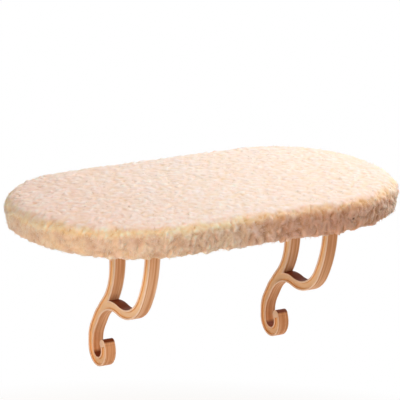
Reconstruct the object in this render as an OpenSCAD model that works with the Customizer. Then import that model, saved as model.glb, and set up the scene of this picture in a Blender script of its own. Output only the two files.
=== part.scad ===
// Window mounted cat perch: a padded shelf whose rear rests on the window sill on a hook and
// loop strip, held up in front by two scroll brackets that lean on the wall below the sill.
// Axes: +X along the window, +Y towards the window, +Z up.
// Origin: centre of the hook strip's underside, which is the sill's surface.

/* [Shelf] */
// Length of the covered shelf along the window
shelf_l = 610; // [560:5:760]
// Depth of the covered shelf from its rear edge to its front edge
shelf_w = 357; // [340:1:420]
// Straight part of each end, between its front corner and its rear corner
end_straight = 21.5; // [5:0.5:40]
// Thickness of the board
board_t = 13; // [12:0.5:20]
// Thickness of the foam pad at its edge
foam_t = 22; // [18:1:40]
// Thickness of the fleece with its pile
fleece_t = 5; // [3:0.5:7]
// Radius of the padded top edge
edge_roll = 18; // [12:1:22]
// Rise of the pad from its edge to the middle
crown_h = 4; // [1:0.5:12]
// How far the elastic draws the cover in at the bottom of its side
draw_in = 2.5; // [0.5:0.5:4]
// Width of cover turned under the board
hem_w = 18; // [12:1:24]
// Width of the elastic sewn along the hem
elastic_w = 4; // [3:0.5:8]
// Thickness of the elastic
elastic_t = 3.2; // [2:0.1:4]

/* [Sill] */
// Distance from the shelf's rear edge to the strips' centre line
strip_inset = 53.5; // [48:0.5:60]
// Distance from each end of the shelf to the strips' ends
strip_end_inset = 120; // [110:5:180]
// Width of the two strips
strip_w = 25; // [16:1:30]
// Thickness of each strip
strip_t = 2.5; // [2.3:0.1:3.5]
// Distance from each end of the shelf to its screw hole for a fixed mounting
sill_hole_inset = 100; // [85:1:105]
// Diameter of these screw holes
sill_hole_d = 4.5; // [3:0.5:6]
// Diameter of their countersinks
sill_sink_d = 9; // [7:0.5:12]
// Depth of their countersinks
sill_sink_h = 2.4; // [1.5:0.1:4]

/* [Brackets] */
// Distance from each end of the shelf to the centre plane of its bracket
bracket_inset = 153.5; // [135:0.5:175]
// Distance from the shelf's front edge to the brackets' plates
plate_setback = 55.7; // [50:0.1:75]
// Width of the bracket's strap, across the photographed side face
strap_w = 18.6; // [14:0.2:22]
// Thickness of the strap in its own plane
strap_t = 14.5; // [12:0.5:16]
// How much thicker the rear leg is than the strap, down_angle to its bend
rear_leg_extra = 3.6; // [1:0.2:5]
// How much thicker the front leg is where it meets the plate
front_leg_extra = 2; // [0.4:0.2:4]
// Length over which the front leg thickens towards the plate
front_flare_l = 14; // [8:1:16]
// Distance between the centres of the two legs at the plate
leg_gap = 107.4; // [104:0.2:112]
// Width of the raised rim along each edge of the side face
rim_w = 2.6; // [1.5:0.1:3.5]
// Depth of the hollow between the rims
hollow_depth = 3.6; // [0.5:0.1:5]
// Depth of the flat where the scroll's back leans on the wall
wall_flat_depth = 0.8; // [0.4:0.1:1.5]
// Straight start of the front leg
front_straight = 5; // [4:0.5:10]
// Radius of the front leg's long bend
front_bend_r = 168; // [160:1:176]
// Radius of the bend under the front leg
elbow_r = 64; // [60:1:68]
// Radius of the hump where the rear leg comes in
hump_r = 63; // [60:1:66]
// Straight part of the stem below the hump
stem_straight = 19.5; // [15:0.5:24]
// Radius of the stem's bend above the scroll
stem_bend_r = 50; // [46:1:54]
// Radius of the scroll at the middle of the strap
scroll_r = 20; // [18:0.5:22]
// How much the scroll's round tip stands proud of the strap
tip_swell = 0.4; // [0.2:0.1:1.5]
// Straight part of the rear leg's back
rear_back_straight = 60; // [57:0.5:62]
// Radius of the bend in the rear leg's back, at the middle of the strap
rear_back_bend_r = 87; // [85:1:90]
// Straight part of the rear leg's front
rear_front_straight = 45.5; // [44:0.5:49]
// Radius of the bend in the rear leg's front, at the middle of the strap
rear_front_bend_r = 117; // [114:1:120]
// Radius with which the rear leg runs into the stem
rear_merge_r = 170; // [140:5:220]

/* [Bracket plates] */
// Width of the plate that screws to the board
plate_w = 60; // [58:1:66]
// Thickness of the plate
plate_t = 5; // [4:0.1:5]
// Radius of the plate's corners
plate_corner_r = 10; // [4:1:12]
// Plate beyond the legs at each end
plate_margin = 3; // [2:0.5:5]
// How far the bracket can slide towards the window
slide_back = 30; // [20:1:32]
// How far the bracket can slide away from the window
slide_front = 12; // [5:1:12]

/* [Thumb screws] */
// Diameter of the steel stud
stud_d = 6; // [5:0.5:7]
// Distance between the two screws of a bracket
screw_pitch = 42; // [41:0.5:44]
// Diameter of the knob over its lobes
knob_d = 22; // [19:0.5:22]
// Height of the knob
knob_h = 14; // [11:0.5:20]
// Number of lobes on the knob
knob_lobes = 6; // [5:1:8]
// Radius of the finger hollows between the lobes
knob_hollow_r = 5; // [4:0.5:6]
// Width of the knob's bevelled edges
knob_bevel = 1.5; // [0.5:0.25:2]
// Diameter of the washer
washer_d = 16; // [13:0.5:18]
// Thickness of the washer
washer_t = 1.6; // [1:0.1:2]
// Diameter of the tee nut's flange
flange_d = 19; // [15:0.5:22]
// Thickness of the tee nut's flange
flange_t = 1.2; // [1:0.1:1.5]
// Length of the tee nut's barrel below its flange
barrel_l = 9; // [6:0.5:9.5]
// Wall of the tee nut's barrel
barrel_wall = 1; // [0.8:0.1:1.5]

/* [Hidden] */
$fn = 96;

// Clearances
soft_gap = 0.3;
edge_gap = 0.8;
thread_gap = 0.05;
press_gap = 0.02;
washer_gap = 0.2;
slot_gap = 0.3;
pocket_gap = 0.2;
overrun = 1;

// Heights, from the sill upwards
board_z = 2 * strip_t;
board_top = board_z + board_t;
cover_top = board_top + foam_t + soft_gap + fleece_t;
plate_z = board_z - plate_t;
hem_top = board_z - soft_gap;

// Plan of the shelf
rear_y = strip_inset;
front_y = rear_y - shelf_w;
front_r = shelf_w / 2;
rear_r = shelf_w - front_r - end_straight;
board_inset = fleece_t + edge_gap;
hem_inset = fleece_t + hem_w;

// Places of the strips' ends, the sill's screw holes and the brackets
strip_half_l = shelf_l / 2 - strip_end_inset;
sill_hole_x = shelf_l / 2 - sill_hole_inset;
bracket_x = shelf_l / 2 - bracket_inset;
leg_top = plate_z + plate_t / 2;

// Angles of the bends, positive towards the window
front_bend_angle = 31.5;
elbow_angle = 70.5;
hump_angle = -70;
stem_bend_angle = -45;
scroll_angle = -200;
rear_back_bend_angle = 45;
rear_front_bend_angle = 47;
rear_merge_angle = -6.5;
down_angle = -90;
hollow_stop_angle = 12;
// Turn from one point of a bend's outline to the next
bend_step_angle = 3;

// Pose after a straight (turn 0) or a bend, from a pose [y, z, heading, distance run]
function next_pose(p, run) = run[1] == 0
    ? [p[0] + run[0] * cos(p[2]), p[1] + run[0] * sin(p[2]), p[2], p[3] + run[0]]
    : let (c = bend_centre(p, run), k = sign(run[1]), h = p[2] + run[1])
        [c[0] + k * run[0] * sin(h), c[1] - k * run[0] * cos(h), h, p[3] + k * run[0] * run[1] * PI / 180];
function bend_centre(p, run) = let (k = sign(run[1]))
    [p[0] - k * run[0] * sin(p[2]), p[1] + k * run[0] * cos(p[2])];
function pose_at(start, path, n) = n == 0
    ? start
    : next_pose(pose_at(start, path, n - 1), path[n - 1]);
// Poses along one run, and along a whole path
function run_poses(p, run) = let (n = max(1, ceil(abs(run[1]) / bend_step_angle)))
    [for (i = [1:n]) next_pose(p, run[1] == 0 ? run : [run[0], run[1] * i / n])];
function path_poses(start, path) = concat([start],
    [for (i = [0:len(path) - 1]) for (p = run_poses(pose_at(start, path, i), path[i])) p]);
// Points beside a list of poses: to the left of the heading where the offset is positive
function beside(poses, off) = [for (p = poses) [p[0] - off * sin(p[2]), p[1] + off * cos(p[2])]];

// The long strap, from inside the plate to the tip of the scroll
function scroll_path(tip_stop = 0) = [
    [front_straight + plate_t / 2, 0],
    [front_bend_r, front_bend_angle],
    [elbow_r, elbow_angle],
    [hump_r, hump_angle],
    [stem_straight, 0],
    [stem_bend_r, stem_bend_angle],
    [scroll_r, scroll_angle + tip_stop]];
// The back and the front of the rear leg, from its top to where it has run into the stem
rear_back_path = [
    [rear_back_straight + plate_t / 2, 0],
    [rear_back_bend_r, rear_back_bend_angle],
    [rear_merge_r, rear_merge_angle]];
rear_front_path = [
    [rear_front_straight + plate_t / 2, 0],
    [rear_front_bend_r, rear_front_bend_angle],
    [rear_merge_r, rear_merge_angle]];

// The plate reaches past both legs, and the studs stand midway between them
plate_front_y = front_y + plate_setback;
front_leg_y = plate_front_y + plate_margin + (strap_t + front_leg_extra) / 2;
rear_leg_y = front_leg_y + leg_gap;
plate_back_y = rear_leg_y + (strap_t + rear_leg_extra) / 2 + plate_margin;
stud_y = (rear_leg_y + front_leg_y) / 2;
stud_r = stud_d / 2;
slot_r = stud_r + slot_gap;
stud_grip = knob_h - knob_bevel - washer_t;

// The bend above the scroll is the bracket's rearmost place, and its flat stands on the wall
front_start = [front_leg_y, leg_top, down_angle, 0];
stem_centre = bend_centre(pose_at(front_start, scroll_path(), 5), [stem_bend_r, stem_bend_angle]);
wall_y = stem_centre[0] + stem_bend_r + strap_t / 2 - wall_flat_depth;
rear_back_start = [rear_leg_y + rear_leg_extra / 2, leg_top, down_angle, 0];
rear_front_start = [rear_leg_y - rear_leg_extra / 2, leg_top, down_angle, 0];

// Shares of the cover's half depth at which its crown has a ring
crown_shares = [0.5, 0.2];
// Points along the quarter turn of each corner
corner_steps = 13;

// Outline of the shelf in plan, drawn in by an inset, as a list of points
function corner(cx, cy, r, from) = [for (i = [0:corner_steps])
    let (a = from + i * 90 / corner_steps) [cx + r * cos(a), cy + r * sin(a)]];
function outline(inset) = concat(
    corner(shelf_l / 2 - rear_r, rear_y - rear_r, rear_r - inset, 0),
    corner(rear_r - shelf_l / 2, rear_y - rear_r, rear_r - inset, 90),
    corner(front_r - shelf_l / 2, front_y + front_r, front_r - inset, 180),
    corner(shelf_l / 2 - front_r, front_y + front_r, front_r - inset, 270));

// Rings [inset, height] of a rolled edge, from its outermost place to its top
function edge_rings(inset, r, top, steps) = [for (i = [0:steps])
    let (a = i * 90 / steps) [inset + r * (1 - cos(a)), top - r * (1 - sin(a))]];
// Rings of the crown, from the middle outwards
function crown_rings(top) = [for (s = crown_shares)
    [edge_roll + s * (front_r - edge_roll), top + crown_h * (1 - pow(1 - s, 2))]];
function reversed(list) = [for (i = [len(list) - 1:-1:0]) list[i]];

// Closed surface through a list of rings, closed by a point over or under the first and the last
module ring_solid(rings, first_z, last_z) {
    loops = [for (r = rings) outline(r[0])];
    n = len(loops[0]);
    m = len(rings);
    mid_y = (rear_y + front_y) / 2;
    points = concat(
        [for (i = [0:m - 1]) for (p = loops[i]) [p[0], p[1], rings[i][1]]],
        [[0, mid_y, first_z], [0, mid_y, last_z]]);
    sides = [for (i = [0:m - 2]) for (j = [0:n - 1])
        let (k = (j + 1) % n)
            for (f = [[i * n + j, (i + 1) * n + j, i * n + k], [i * n + k, (i + 1) * n + j, (i + 1) * n + k]]) f];
    first = [for (j = [0:n - 1]) [m * n, j, (j + 1) % n]];
    last = [for (j = [0:n - 1]) [m * n + 1, (m - 1) * n + (j + 1) % n, (m - 1) * n + j]];
    polyhedron(points = points, faces = concat(sides, first, last), convexity = 4);
}

// Fitted cover: crowned top, rolled edge, side drawn in below, and a hem turned under the board
module fleece_cover() {
    inner_top = cover_top - fleece_t;
    low_roll = draw_in + fleece_t / 2;
    color("#f1e2c8")
        ring_solid(concat(
            crown_rings(cover_top),
            reversed(edge_rings(0, edge_roll, cover_top, 4)),
            [[draw_in / 2, low_roll], [low_roll, 0], [hem_inset, 0], [hem_inset, hem_top], [fleece_t, hem_top]],
            edge_rings(fleece_t, edge_roll - fleece_t, inner_top, 3),
            reversed(crown_rings(inner_top))),
            cover_top + crown_h, inner_top + crown_h);
}

// Elastic sewn along the inner edge of the hem
module hem_elastic() {
    inset = hem_inset + soft_gap;
    color("#e9dcc6")
        translate([0, 0, (hem_top - elastic_t) / 2])
            linear_extrude(elastic_t)
                difference() {
                    polygon(outline(inset));
                    polygon(outline(inset + elastic_w));
                }
}

// Foam pad on the board, with the cover's crown and rolled edge
module foam_pad() {
    top = cover_top - fleece_t - soft_gap;
    color("#f4efd8")
        ring_solid(concat(
            crown_rings(top),
            reversed(edge_rings(board_inset, edge_roll - board_inset, top, 3)),
            [[board_inset, board_top]]),
            top + crown_h, board_top);
}

// Plate with the shelf's plan, drawn in by an inset: four round corners and the land between them
module shelf_slab(inset, thickness) {
    rear_x = shelf_l / 2 - rear_r;
    front_x = shelf_l / 2 - front_r;
    rear_mid_y = rear_y - rear_r;
    front_mid_y = front_y + front_r;
    for (side = [-1, 1]) {
        translate([side * rear_x, rear_mid_y, 0])
            cylinder(r = rear_r - inset, h = thickness);
        translate([side * front_x, front_mid_y, 0])
            cylinder(r = front_r - inset, h = thickness);
    }
    linear_extrude(thickness)
        polygon([
            [-rear_x, rear_y - inset], [rear_x, rear_y - inset],
            [shelf_l / 2 - inset, rear_mid_y], [shelf_l / 2 - inset, front_mid_y],
            [front_x, front_y + inset], [-front_x, front_y + inset],
            [inset - shelf_l / 2, front_mid_y], [inset - shelf_l / 2, rear_mid_y]]);
}

module at_screws() {
    for (side = [-1, 1])
        for (hand = [-1, 1])
            translate([side * bracket_x + hand * screw_pitch / 2, stud_y, 0])
                children();
}

// Board with pockets for the tee nuts and two countersunk holes over the sill
module shelf_board() {
    barrel_r = stud_r + thread_gap + barrel_wall;
    color("#c9a878")
        difference() {
            translate([0, 0, board_z])
                shelf_slab(board_inset, board_t);
            at_screws() {
                translate([0, 0, board_z - overrun])
                    cylinder(r = barrel_r + thread_gap, h = board_t + 2 * overrun);
                translate([0, 0, board_top - flange_t])
                    cylinder(r = flange_d / 2 + pocket_gap, h = flange_t + overrun);
            }
            for (side = [-1, 1])
                translate([side * sill_hole_x, 0, 0]) {
                    translate([0, 0, board_z - overrun])
                        cylinder(r = sill_hole_d / 2, h = board_t + 2 * overrun);
                    translate([0, 0, board_top - sill_sink_h])
                        cylinder(r1 = sill_hole_d / 2, r2 = sill_sink_d / 2, h = sill_sink_h);
                }
        }
}

module strip(z) {
    translate([-strip_half_l, -strip_w / 2, z])
        cube([2 * strip_half_l, strip_w, strip_t]);
}

module loop_strip() {
    color("#efe9dc")
        strip(strip_t);
}

module hook_strip() {
    color("#d8d2c4")
        strip(0);
}

// Turns the drawing plane to the bracket's plane: X becomes Y, Y becomes Z, and Z becomes X
module in_bracket_plane() {
    rotate([90, 0, 90])
        children();
}

// Half of the front leg's thickness: it grows from the end of its flare to the plate
function front_half(p) = strap_t / 2
    + front_leg_extra / 2 * min(1, max(0, 1 - (p[3] - plate_t / 2) / front_flare_l));

// Outline of the long strap, drawn in by an inset on both sides
module long_outline(inset, tip_stop) {
    poses = path_poses(front_start, scroll_path(tip_stop));
    polygon(concat(
        [for (p = poses) beside([p], front_half(p) - inset)[0]],
        reversed([for (p = poses) beside([p], inset - front_half(p))[0]])));
}

// Outline of the rear leg between its back and its front
module rear_outline(inset) {
    half = strap_t / 2 - inset;
    polygon(concat(
        beside(path_poses(rear_back_start, rear_back_path), half),
        reversed(beside(path_poses(rear_front_start, rear_front_path), -half))));
}

// The legs and the scroll, with a hollow between two rims along each side face
module straps() {
    tip = pose_at(front_start, scroll_path(), 7);
    hollow_h = hollow_depth + overrun;
    difference() {
        translate([0, 0, -strap_w / 2]) {
            linear_extrude(strap_w)
                long_outline(0, 0);
            linear_extrude(strap_w)
                rear_outline(0);
            translate([tip[0], tip[1], 0])
                cylinder(r = strap_t / 2 + tip_swell, h = strap_w);
        }
        for (low = [strap_w / 2 - hollow_depth, -strap_w / 2 - overrun])
            translate([0, 0, low]) {
                linear_extrude(hollow_h)
                    long_outline(rim_w, hollow_stop_angle);
                linear_extrude(hollow_h)
                    rear_outline(rim_w);
            }
        translate([wall_y, stem_centre[1] - stem_bend_r / 2, -strap_w])
            cube([strap_t, stem_bend_r, 2 * strap_w]);
    }
}

// Plate with its two slots, in which the studs slide
module slotted_plate() {
    inner_w = plate_w - 2 * plate_corner_r;
    length = plate_back_y - plate_front_y;
    translate([0, 0, plate_z])
        linear_extrude(plate_t)
            difference() {
                union() {
                    translate([-plate_w / 2, plate_front_y + plate_corner_r])
                        square([plate_w, length - 2 * plate_corner_r]);
                    translate([-inner_w / 2, plate_front_y])
                        square([inner_w, length]);
                    for (x = [-inner_w / 2, inner_w / 2])
                        for (y = [plate_front_y + plate_corner_r, plate_back_y - plate_corner_r])
                            translate([x, y])
                                circle(plate_corner_r);
                }
                for (x = [-screw_pitch / 2, screw_pitch / 2]) {
                    translate([x, stud_y - slide_back])
                        circle(slot_r);
                    translate([x, stud_y + slide_front])
                        circle(slot_r);
                    translate([x - slot_r, stud_y - slide_back])
                        square([2 * slot_r, slide_back + slide_front]);
                }
            }
}

// One moulding: the slotted plate, the rear leg, and the front leg that runs on into the scroll
module bracket(side) {
    color("#dca873")
        translate([side * bracket_x, 0, 0]) {
            in_bracket_plane()
                straps();
            slotted_plate();
        }
}

module left_bracket() {
    bracket(-1);
}

module right_bracket() {
    bracket(1);
}

// Places a piece at a screw: side is -1 for the left bracket, hand is -1 for its left screw
module at_screw(side, hand) {
    translate([side * bracket_x + hand * screw_pitch / 2, stud_y, 0])
        children();
}

module tee_nut(side, hand) {
    bore_r = stud_r + thread_gap;
    color("#b9bcc0")
        at_screw(side, hand)
            difference() {
                union() {
                    translate([0, 0, board_top - flange_t])
                        cylinder(r = flange_d / 2, h = flange_t);
                    translate([0, 0, board_top - flange_t - barrel_l])
                        cylinder(r = bore_r + barrel_wall, h = barrel_l);
                }
                translate([0, 0, board_z])
                    cylinder(r = bore_r, h = board_t + overrun);
            }
}

module washer(side, hand) {
    color("#c6c9cc")
        at_screw(side, hand)
            translate([0, 0, plate_z - washer_t])
                difference() {
                    cylinder(r = washer_d / 2, h = washer_t);
                    translate([0, 0, -overrun])
                        cylinder(r = stud_r + washer_gap, h = washer_t + 2 * overrun);
                }
}

// Lobed knob with a blind hole in its top for the stud
module knob(side, hand) {
    r = knob_d / 2;
    color("#3a3530")
        at_screw(side, hand)
            translate([0, 0, plate_z - washer_t - knob_h])
                difference() {
                    rotate_extrude()
                        polygon([[0, 0], [r - knob_bevel, 0], [r, knob_bevel],
                            [r, knob_h - knob_bevel], [r - knob_bevel, knob_h], [0, knob_h]]);
                    for (i = [0:knob_lobes - 1])
                        rotate([0, 0, i * 360 / knob_lobes])
                            translate([r + knob_hollow_r / 2, 0, -overrun])
                                cylinder(r = knob_hollow_r, h = knob_h + 2 * overrun);
                    translate([0, 0, knob_h - stud_grip])
                        cylinder(r = stud_r + press_gap, h = stud_grip + overrun);
                }
}

module stud(side, hand) {
    low = plate_z - washer_t - stud_grip;
    high = board_top - flange_t;
    color("#aeb1b5")
        at_screw(side, hand)
            translate([0, 0, low])
                cylinder(r = stud_r, h = high - low);
}

fleece_cover();
hem_elastic();
foam_pad();
shelf_board();
loop_strip();
hook_strip();
left_bracket();
right_bracket();
tee_nut(-1, -1);  // left_outer_tee_nut
tee_nut(-1, 1);  // left_inner_tee_nut
tee_nut(1, -1);  // right_inner_tee_nut
tee_nut(1, 1);  // right_outer_tee_nut
washer(-1, -1);  // left_outer_washer
washer(-1, 1);  // left_inner_washer
washer(1, -1);  // right_inner_washer
washer(1, 1);  // right_outer_washer
knob(-1, -1);  // left_outer_knob
knob(-1, 1);  // left_inner_knob
knob(1, -1);  // right_inner_knob
knob(1, 1);  // right_outer_knob
stud(-1, -1);  // left_outer_stud
stud(-1, 1);  // left_inner_stud
stud(1, -1);  // right_inner_stud
stud(1, 1);  // right_outer_stud
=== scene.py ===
"""Dresses the window mounted cat perch: fleece cover, scrolled brackets, thumb screws and a pale studio."""

import math

import bmesh
import bpy
import numpy as np
from mathutils import Matrix, Vector, geometry, kdtree, noise


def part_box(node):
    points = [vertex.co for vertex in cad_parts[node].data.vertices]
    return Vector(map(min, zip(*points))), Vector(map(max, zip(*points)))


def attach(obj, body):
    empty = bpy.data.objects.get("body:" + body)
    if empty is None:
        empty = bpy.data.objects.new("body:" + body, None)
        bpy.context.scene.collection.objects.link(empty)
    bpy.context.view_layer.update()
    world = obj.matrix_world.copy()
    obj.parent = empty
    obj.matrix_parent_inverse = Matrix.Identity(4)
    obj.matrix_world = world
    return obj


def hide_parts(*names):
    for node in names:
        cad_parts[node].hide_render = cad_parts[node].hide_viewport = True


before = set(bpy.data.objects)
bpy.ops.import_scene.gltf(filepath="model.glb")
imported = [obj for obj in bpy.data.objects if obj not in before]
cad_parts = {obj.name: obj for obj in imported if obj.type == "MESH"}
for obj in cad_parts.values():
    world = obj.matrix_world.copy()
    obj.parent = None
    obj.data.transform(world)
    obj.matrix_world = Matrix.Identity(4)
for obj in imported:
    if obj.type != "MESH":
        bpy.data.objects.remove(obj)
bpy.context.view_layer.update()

bl_info = {
    "name": "Window mounted cat perch",
    "version": (1, 0, 0),
    "blender": (4, 5, 0),
    "location": "View3D > Sidebar > Perch",
    "description": "Builds the visible pieces of a fleece-covered window perch",
    "category": "Object",
}

SCREWS = ("left_outer", "left_inner", "right_inner", "right_outer")


# ---- small helpers ----

def linear(code):
    """Linear RGBA of an sRGB hex colour."""
    parts = [int(code[i:i + 2], 16) / 255 for i in (1, 3, 5)]
    return (*[c / 12.92 if c <= 0.04045 else ((c + 0.055) / 1.055) ** 2.4 for c in parts], 1.0)


def placed(name, mesh, material, body):
    """A smooth-shaded piece with a mesh, which rides on a body and takes its finish from a slot."""
    mesh.shade_smooth()
    mesh.materials.append(material)
    piece = bpy.data.objects.new(name, mesh)
    bpy.context.scene.collection.objects.link(piece)
    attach(piece, body)
    return piece


def new_object(name, points, faces, material, body):
    """A piece made from points and faces."""
    mesh = bpy.data.meshes.new(name)
    mesh.from_pydata([tuple(p) for p in points], [], [tuple(f) for f in faces])
    return placed(name, mesh, material, body)


def add_attribute(piece, name, values, kind="FLOAT"):
    """Stores a value at each point of a piece."""
    made = piece.data.attributes.new(name, kind, "POINT")
    field = "value" if kind == "FLOAT" else "vector"
    made.data.foreach_set(field, np.asarray(values, dtype=np.float32).ravel())


def points_of(piece):
    """The piece's points as an array."""
    points = np.empty(len(piece.data.vertices) * 3)
    piece.data.vertices.foreach_get("co", points)
    return points.reshape(-1, 3)


def add_node(tree, kind, settings=None, inputs=None):
    """Adds a shader node, sets its properties, and sets or links its inputs. The setting "stops" fills a
    colour ramp from [(position, colour)], where a colour is an sRGB hex code or linear RGBA. A colour mix has
    its factor and its two colours at inputs 0, 6 and 7 and its result at output 2, and a range has its old
    and its new ends at inputs 1 to 4."""
    made = tree.nodes.new("ShaderNode" + kind)
    for key, value in (settings or {}).items():
        if key == "stops":
            elements = made.color_ramp.elements
            while len(elements) < len(value):
                elements.new(0.5)
            for element, (position, colour) in zip(elements, value):
                element.position = position
                element.color = linear(colour) if isinstance(colour, str) else colour
        else:
            setattr(made, key, value)
    for key, value in (inputs or {}).items():
        socket = made.inputs[key]
        if isinstance(value, bpy.types.NodeSocket):
            tree.links.new(value, socket)
        else:
            socket.default_value = value
    return made


def new_material(name, finish):
    """A material whose tree has a Principled shader with a finish, and the object coordinates."""
    material = bpy.data.materials.new(name)
    material.use_nodes = True
    tree = material.node_tree
    tree.nodes.clear()
    shader = add_node(tree, "BsdfPrincipled", inputs=finish)
    output = add_node(tree, "OutputMaterial")
    tree.links.new(shader.outputs["BSDF"], output.inputs["Surface"])
    where = add_node(tree, "TexCoord").outputs["Object"]
    return material, tree, shader, where


# ---- settings ----

class PerchShelf(bpy.types.PropertyGroup):
    """Plan and edge of the covered shelf"""
    rear_radius: bpy.props.FloatProperty(
        name="Rear corner radius", description="Radius of the two rear corners in plan",
        default=0.157, unit="LENGTH", subtype="DISTANCE")
    edge_roll: bpy.props.FloatProperty(
        name="Edge roll", description="Radius with which the top rolls over into the side",
        default=0.018, unit="LENGTH", subtype="DISTANCE")
    crown: bpy.props.FloatProperty(
        name="Crown", description="How much the middle of the top stands above its edge",
        default=0.004, unit="LENGTH", subtype="DISTANCE")
    hem_inset: bpy.props.FloatProperty(
        name="Hem inset", description="From the shelf's outline to the hem's inner edge",
        default=0.023, unit="LENGTH", subtype="DISTANCE")
    end_draw: bpy.props.FloatProperty(
        name="End draw", description="How far the elastic draws the lower edge in at the two ends",
        default=0.009, unit="LENGTH", subtype="DISTANCE")
    edge_room: bpy.props.FloatProperty(
        name="Edge room", description="How far the cover's side can come in before it meets the board's edge",
        default=0.0014, unit="LENGTH", subtype="DISTANCE")
    end_drop: bpy.props.FloatProperty(
        name="End drop", description="How far the rim is drawn down at the two ends",
        default=0.004, unit="LENGTH", subtype="DISTANCE")
    hem_top: bpy.props.FloatProperty(
        name="Hem top", description="Height of the hem's upper side under the board",
        default=0.0047, unit="LENGTH", subtype="DISTANCE")


class PerchFleece(bpy.types.PropertyGroup):
    """Curls of the fleece"""
    spacing: bpy.props.FloatProperty(
        name="Mesh spacing", description="Distance between the cover's mesh points",
        default=0.0021, unit="LENGTH", subtype="DISTANCE")
    clump: bpy.props.FloatProperty(
        name="Clump size", description="Distance between the large clumps of curls",
        default=0.0135, unit="LENGTH", subtype="DISTANCE")
    clump_height: bpy.props.FloatProperty(
        name="Clump height", description="Height of a large clump",
        default=0.0018, unit="LENGTH", subtype="DISTANCE")
    lean: bpy.props.FloatProperty(
        name="Lean", description="How far a curl leans over, as a share of its height",
        default=0.7, subtype="FACTOR")
    dab_gap: bpy.props.FloatProperty(
        name="Dab gap", description="Least distance between the middles of two dabs of pile",
        default=0.0064, unit="LENGTH", subtype="DISTANCE")
    dab_length: bpy.props.FloatProperty(
        name="Dab length", description="From the middle of a dab of pile to its end",
        default=0.0088, unit="LENGTH", subtype="DISTANCE")
    dab_width: bpy.props.FloatProperty(
        name="Dab width", description="From the middle of a dab of pile to its side",
        default=0.0052, unit="LENGTH", subtype="DISTANCE")
    dab_height: bpy.props.FloatProperty(
        name="Dab height", description="Height of a dab of pile",
        default=0.0026, unit="LENGTH", subtype="DISTANCE")
    hang: bpy.props.FloatProperty(
        name="Hang", description="How far the clumps hang below the cover's lower edge",
        default=0.0022, unit="LENGTH", subtype="DISTANCE")
    end_lift: bpy.props.FloatProperty(
        name="End lift", description="How far the right end's lower edge is pulled up",
        default=0.0024, unit="LENGTH", subtype="DISTANCE")
    bedding: bpy.props.FloatProperty(
        name="Bedding", description="How far the bare ground between the curls lies below the smooth surface",
        default=0.0018, unit="LENGTH", subtype="DISTANCE")
    wisps: bpy.props.IntProperty(
        name="Wisps", description="Number of thin wisps that stand off the pile", default=9000)
    wisp_length: bpy.props.FloatProperty(
        name="Wisp length", description="Mean length of a wisp",
        default=0.0055, unit="LENGTH", subtype="DISTANCE")
    wisp_width: bpy.props.FloatProperty(
        name="Wisp width", description="Mean width of a wisp",
        default=0.0008, unit="LENGTH", subtype="DISTANCE")


class PerchBracket(bpy.types.PropertyGroup):
    """Straps of the brackets"""
    edge_radius: bpy.props.FloatProperty(
        name="Edge radius", description="Rounding of the straps' edges",
        default=0.0009, unit="LENGTH", subtype="DISTANCE")
    cove_radius: bpy.props.FloatProperty(
        name="Cove radius", description="Rounding of the inner corners of the hollows",
        default=0.0025, unit="LENGTH", subtype="DISTANCE")
    hollow_depth: bpy.props.FloatProperty(
        name="Hollow depth", description="How deep the hollows go into the straps' side faces",
        default=0.0036, unit="LENGTH", subtype="DISTANCE")
    strap_width: bpy.props.FloatProperty(
        name="Strap width", description="Width of the straps from one side face to the other",
        default=0.0186, unit="LENGTH", subtype="DISTANCE")


class PerchColours(bpy.types.PropertyGroup):
    """Main colours of the pieces"""
    pile_top: bpy.props.FloatVectorProperty(
        name="Pile, top", description="Curls that lie on the top",
        default=linear("#fbe4da"), subtype="COLOR", size=4, min=0, max=1)
    pile_rim: bpy.props.FloatVectorProperty(
        name="Pile, rim", description="Curls that bend over the rim",
        default=linear("#ffe8c6"), subtype="COLOR", size=4, min=0, max=1)
    # The side's darker tones are painted shade.
    pile_side_shaded: bpy.props.FloatVectorProperty(
        name="Pile, side", description="Curls that hang on the side",
        default=linear("#eaccb3"), subtype="COLOR", size=4, min=0, max=1)
    bracket: bpy.props.FloatVectorProperty(
        name="Brackets", description="Flat faces of the brackets",
        default=linear("#e5af82"), subtype="COLOR", size=4, min=0, max=1)
    # A tone of the painted shade in the hollows' coves.
    bracket_hollow: bpy.props.FloatVectorProperty(
        name="Bracket hollows", description="Walls of the hollows along the brackets",
        default=linear("#e8b274"), subtype="COLOR", size=4, min=0, max=1)
    knob: bpy.props.FloatVectorProperty(
        name="Knobs", description="Knobs of the thumb screws",
        default=linear("#433b34"), subtype="COLOR", size=4, min=0, max=1)


class PerchStage(bpy.types.PropertyGroup):
    """Camera, light and floor"""
    azimuth: bpy.props.FloatProperty(
        name="Azimuth", description="Camera's turn round the perch, from its front towards its right",
        default=math.radians(-29.9), unit="ROTATION", subtype="ANGLE")
    elevation: bpy.props.FloatProperty(
        name="Elevation", description="Camera's angle above the horizon",
        default=math.radians(15.52), unit="ROTATION", subtype="ANGLE")
    roll: bpy.props.FloatProperty(
        name="Roll", description="Camera's turn about its own line of sight",
        default=math.radians(0.45), unit="ROTATION", subtype="ANGLE")
    distance: bpy.props.FloatProperty(
        name="Distance", description="From the camera to the point that it looks at",
        default=4.1848, unit="LENGTH", subtype="DISTANCE")
    lens: bpy.props.FloatProperty(
        name="Lens", description="Focal length in millimetres on a 36 mm sensor",
        default=252.4, unit="CAMERA")
    aim_right: bpy.props.FloatProperty(
        name="Aim right", description="How far right of the shelf's middle the camera looks",
        default=-0.00834, unit="LENGTH", subtype="DISTANCE")
    aim_up: bpy.props.FloatProperty(
        name="Aim up", description="How far above the shelf's top edge the camera looks",
        default=-0.02293, unit="LENGTH", subtype="DISTANCE")
    floor_drop: bpy.props.FloatProperty(
        name="Floor drop", description="How far the room's floor lies below the sill",
        default=0.75, unit="LENGTH", subtype="DISTANCE")


# ---- fleece cover ----

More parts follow.
